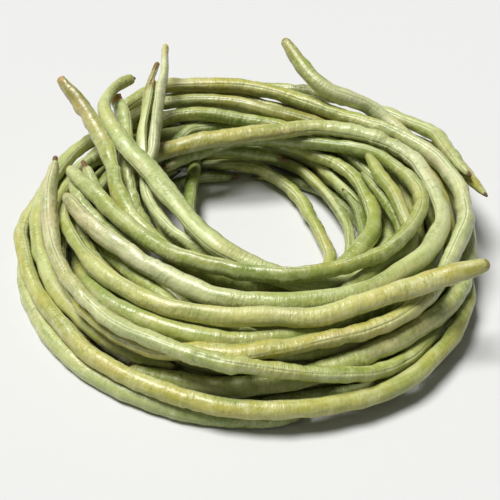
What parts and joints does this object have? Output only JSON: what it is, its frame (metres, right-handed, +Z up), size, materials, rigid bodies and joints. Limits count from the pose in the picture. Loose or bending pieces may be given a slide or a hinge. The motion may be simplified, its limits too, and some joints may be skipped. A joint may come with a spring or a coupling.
{
  "type": "yardlong bean bunch",
  "caption": "Bunch of fresh yardlong beans wound into a loose wreath-like coil lying flat, with several pod ends standing up out of it.",
  "frame": {"origin": "bottom centre of the bunch's bounding box, on the surface that it lies on", "axes": "+Z up, along the shortest extent; -Y towards the front of the picture's view, +X to its right"},
  "size_m": [0.2294, 0.2336, 0.0612],
  "materials": {
    "pale_skin": "fresh pale green pod skin, satin and a little wet",
    "green_skin": "fresh mid green pod skin, satin and a little wet",
    "yellow_skin": "ripe yellow-green pod skin, satin and a little wet"
  },
  "bodies": {
    "root": {"pod_inner_turn": "green_skin", "pod_middle_turn": "pale_skin", "pod_yellow_turn": "yellow_skin", "pod_rim_rider": "yellow_skin", "pod_left_outer": "pale_skin", "pod_back_left_arm": "green_skin", "pod_crossing_pod": "pale_skin", "pod_cut_end": "green_skin", "pod_upright_a": "pale_skin", "pod_upright_b": "green_skin", "pod_upright_c": "pale_skin", "pod_left_stub": "green_skin", "pod_left_inner": "yellow_skin", "pod_left_gap_outer": "green_skin", "pod_left_gap_inner": "yellow_skin", "pod_front_under": "green_skin", "pod_right_outer": "pale_skin", "pod_right_beak": "pale_skin", "pod_back_arm": "yellow_skin", "pod_back_turn_outer": "yellow_skin", "pod_back_turn_middle": "green_skin", "pod_back_turn_inner": "pale_skin", "pod_inside_right_a": "yellow_skin", "pod_inside_right_b": "pale_skin", "pod_hole_crossing": "green_skin", "pod_hole_edge": "yellow_skin", "pod_low_outer_front": "green_skin", "pod_low_outer_back": "pale_skin", "pod_low_middle": "green_skin", "pod_low_inner": "pale_skin", "pod_side_left": "yellow_skin", "pod_side_front": "green_skin", "pod_side_back": "pale_skin"}
  },
  "joints": []
}
